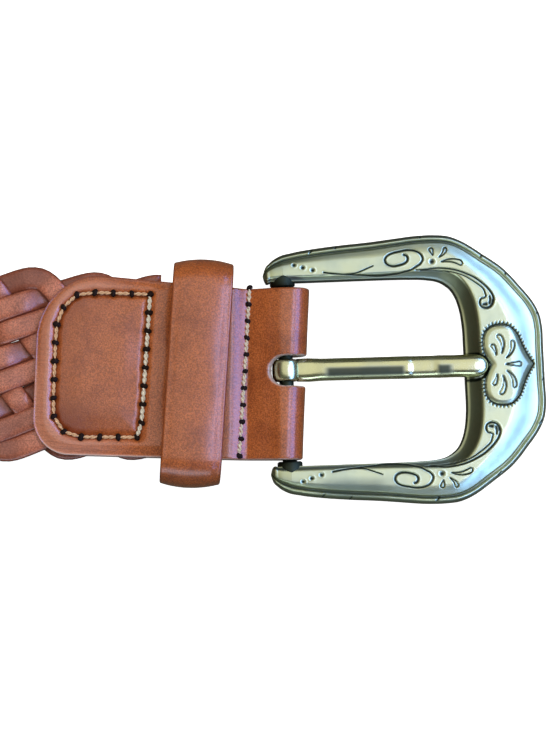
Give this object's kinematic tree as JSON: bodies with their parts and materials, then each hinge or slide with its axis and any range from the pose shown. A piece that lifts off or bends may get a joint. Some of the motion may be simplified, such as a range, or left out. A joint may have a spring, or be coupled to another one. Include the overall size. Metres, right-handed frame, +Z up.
{
  "type": "braided belt",
  "caption": "Flat braided leather belt with a stitched leather chape, keeper and tip, and an engraved antique-brass buckle with a hinged frame and prong.",
  "frame": {"origin": "middle of the belt's length and width, on the surface it lies on", "axes": "+X along the strap towards the buckle, +Y across it, +Z up out of its front face; the buckle lies turned 4 degrees from the strap"},
  "size_m": [1.0046, 0.0562, 0.0146],
  "materials": {
    "strap_leather": "cognac full-grain leather, waxed, darker mottling, cut edges lightly bevelled",
    "lace_leather": "pinkish tan laces, soft sheen, darker between the crossings",
    "antique_brass": "satin antiqued brass plate, engraved scrolls filled with dark patina, rubbed edges",
    "polished_brass": "brighter polished brass plate, satin at the tip",
    "seam_thread": "waxed two-colour thread, cream with dark brown"
  },
  "bodies": {
    "strap": {"chape": "strap_leather", "keeper": "strap_leather", "braid": "lace_leather", "tip": "strap_leather"},
    "buckle": {"buckle_frame": "antique_brass"},
    "tongue": {"prong": "polished_brass"}
  },
  "joints": [
    {"name": "buckle_hinge", "type": "hinge", "parent": "strap", "child": "buckle", "pos_m": [0.44733, -0.00214, 0.0041], "axis": [0.0698, -0.9976, 0], "range_deg": [-90, 20]},
    {"name": "prong_hinge", "type": "hinge", "parent": "buckle", "child": "tongue", "pos_m": [0.44733, -0.00214, 0.0041], "axis": [0.0698, -0.9976, 0], "range_deg": [0, 90]}
  ]
}
